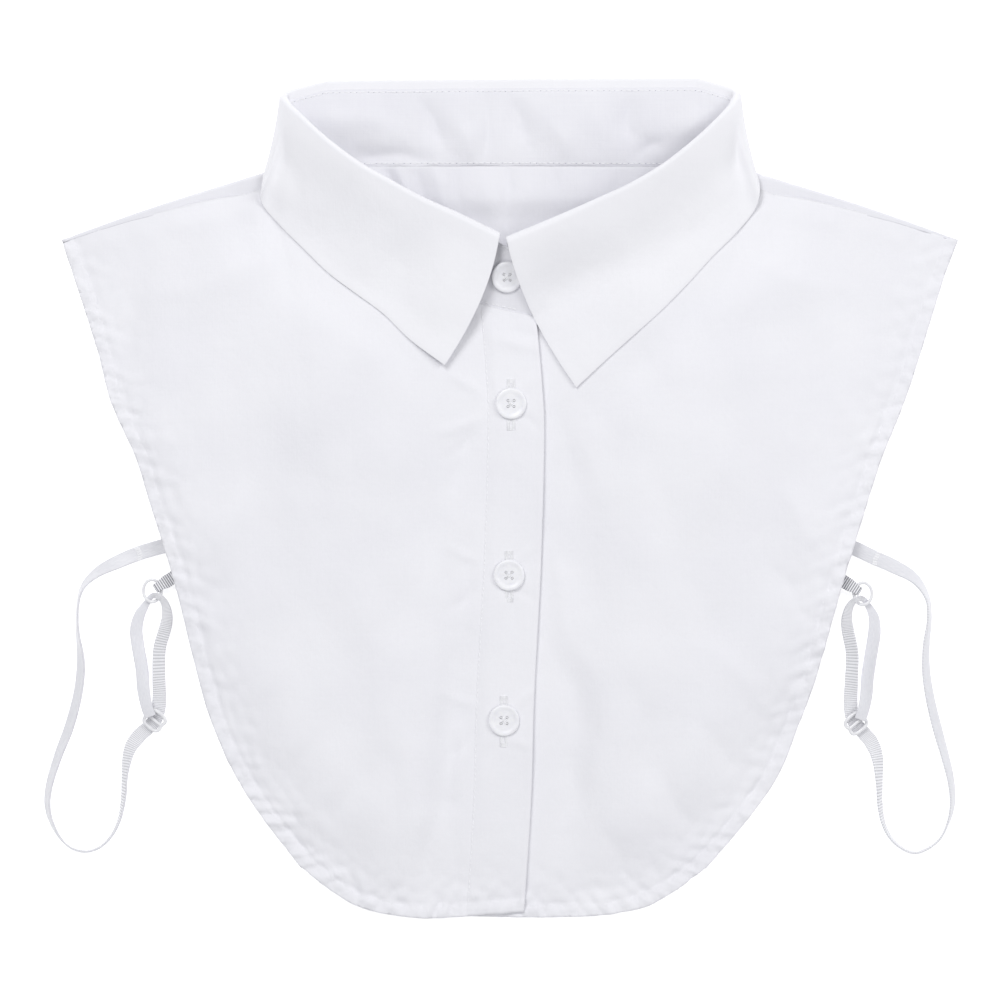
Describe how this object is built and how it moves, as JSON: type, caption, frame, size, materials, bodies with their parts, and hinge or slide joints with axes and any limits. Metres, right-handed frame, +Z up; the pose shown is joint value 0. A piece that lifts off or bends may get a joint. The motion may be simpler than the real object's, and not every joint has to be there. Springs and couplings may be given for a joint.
{
  "type": "detachable shirt collar",
  "caption": "White cotton half-shirt collar laid flat: shirt collar on a band, buttoned front, short back, and an adjustable elastic loop at each side.",
  "frame": {"origin": "on the garment's centre line, on the underside of the back panel, where it rests", "axes": "+Z up from the surface it lies on, +Y towards the collar, +X towards the wearer's left side"},
  "size_m": [0.3673, 0.3366, 0.0207],
  "materials": {
    "white_cotton": "plain poplin weave, matte",
    "strap_elastic": "narrow elastic, smooth on one face and ribbed on the other",
    "button_plastic": "white, soft gloss",
    "slider_plastic": "white, gloss"
  },
  "bodies": {
    "root": {"back_panel": "white_cotton", "front_right": "white_cotton", "front_left": "white_cotton", "placket": "white_cotton", "neckband": "white_cotton", "collar_leaf": "white_cotton", "button_1": "button_plastic", "button_2": "button_plastic", "button_3": "button_plastic", "button_4": "button_plastic", "strap_right": "strap_elastic", "strap_left": "strap_elastic", "slider_right": "slider_plastic", "slider_left": "slider_plastic", "ring_right": "slider_plastic", "ring_left": "slider_plastic", "tab_right": "strap_elastic", "tab_left": "strap_elastic"}
  },
  "joints": []
}
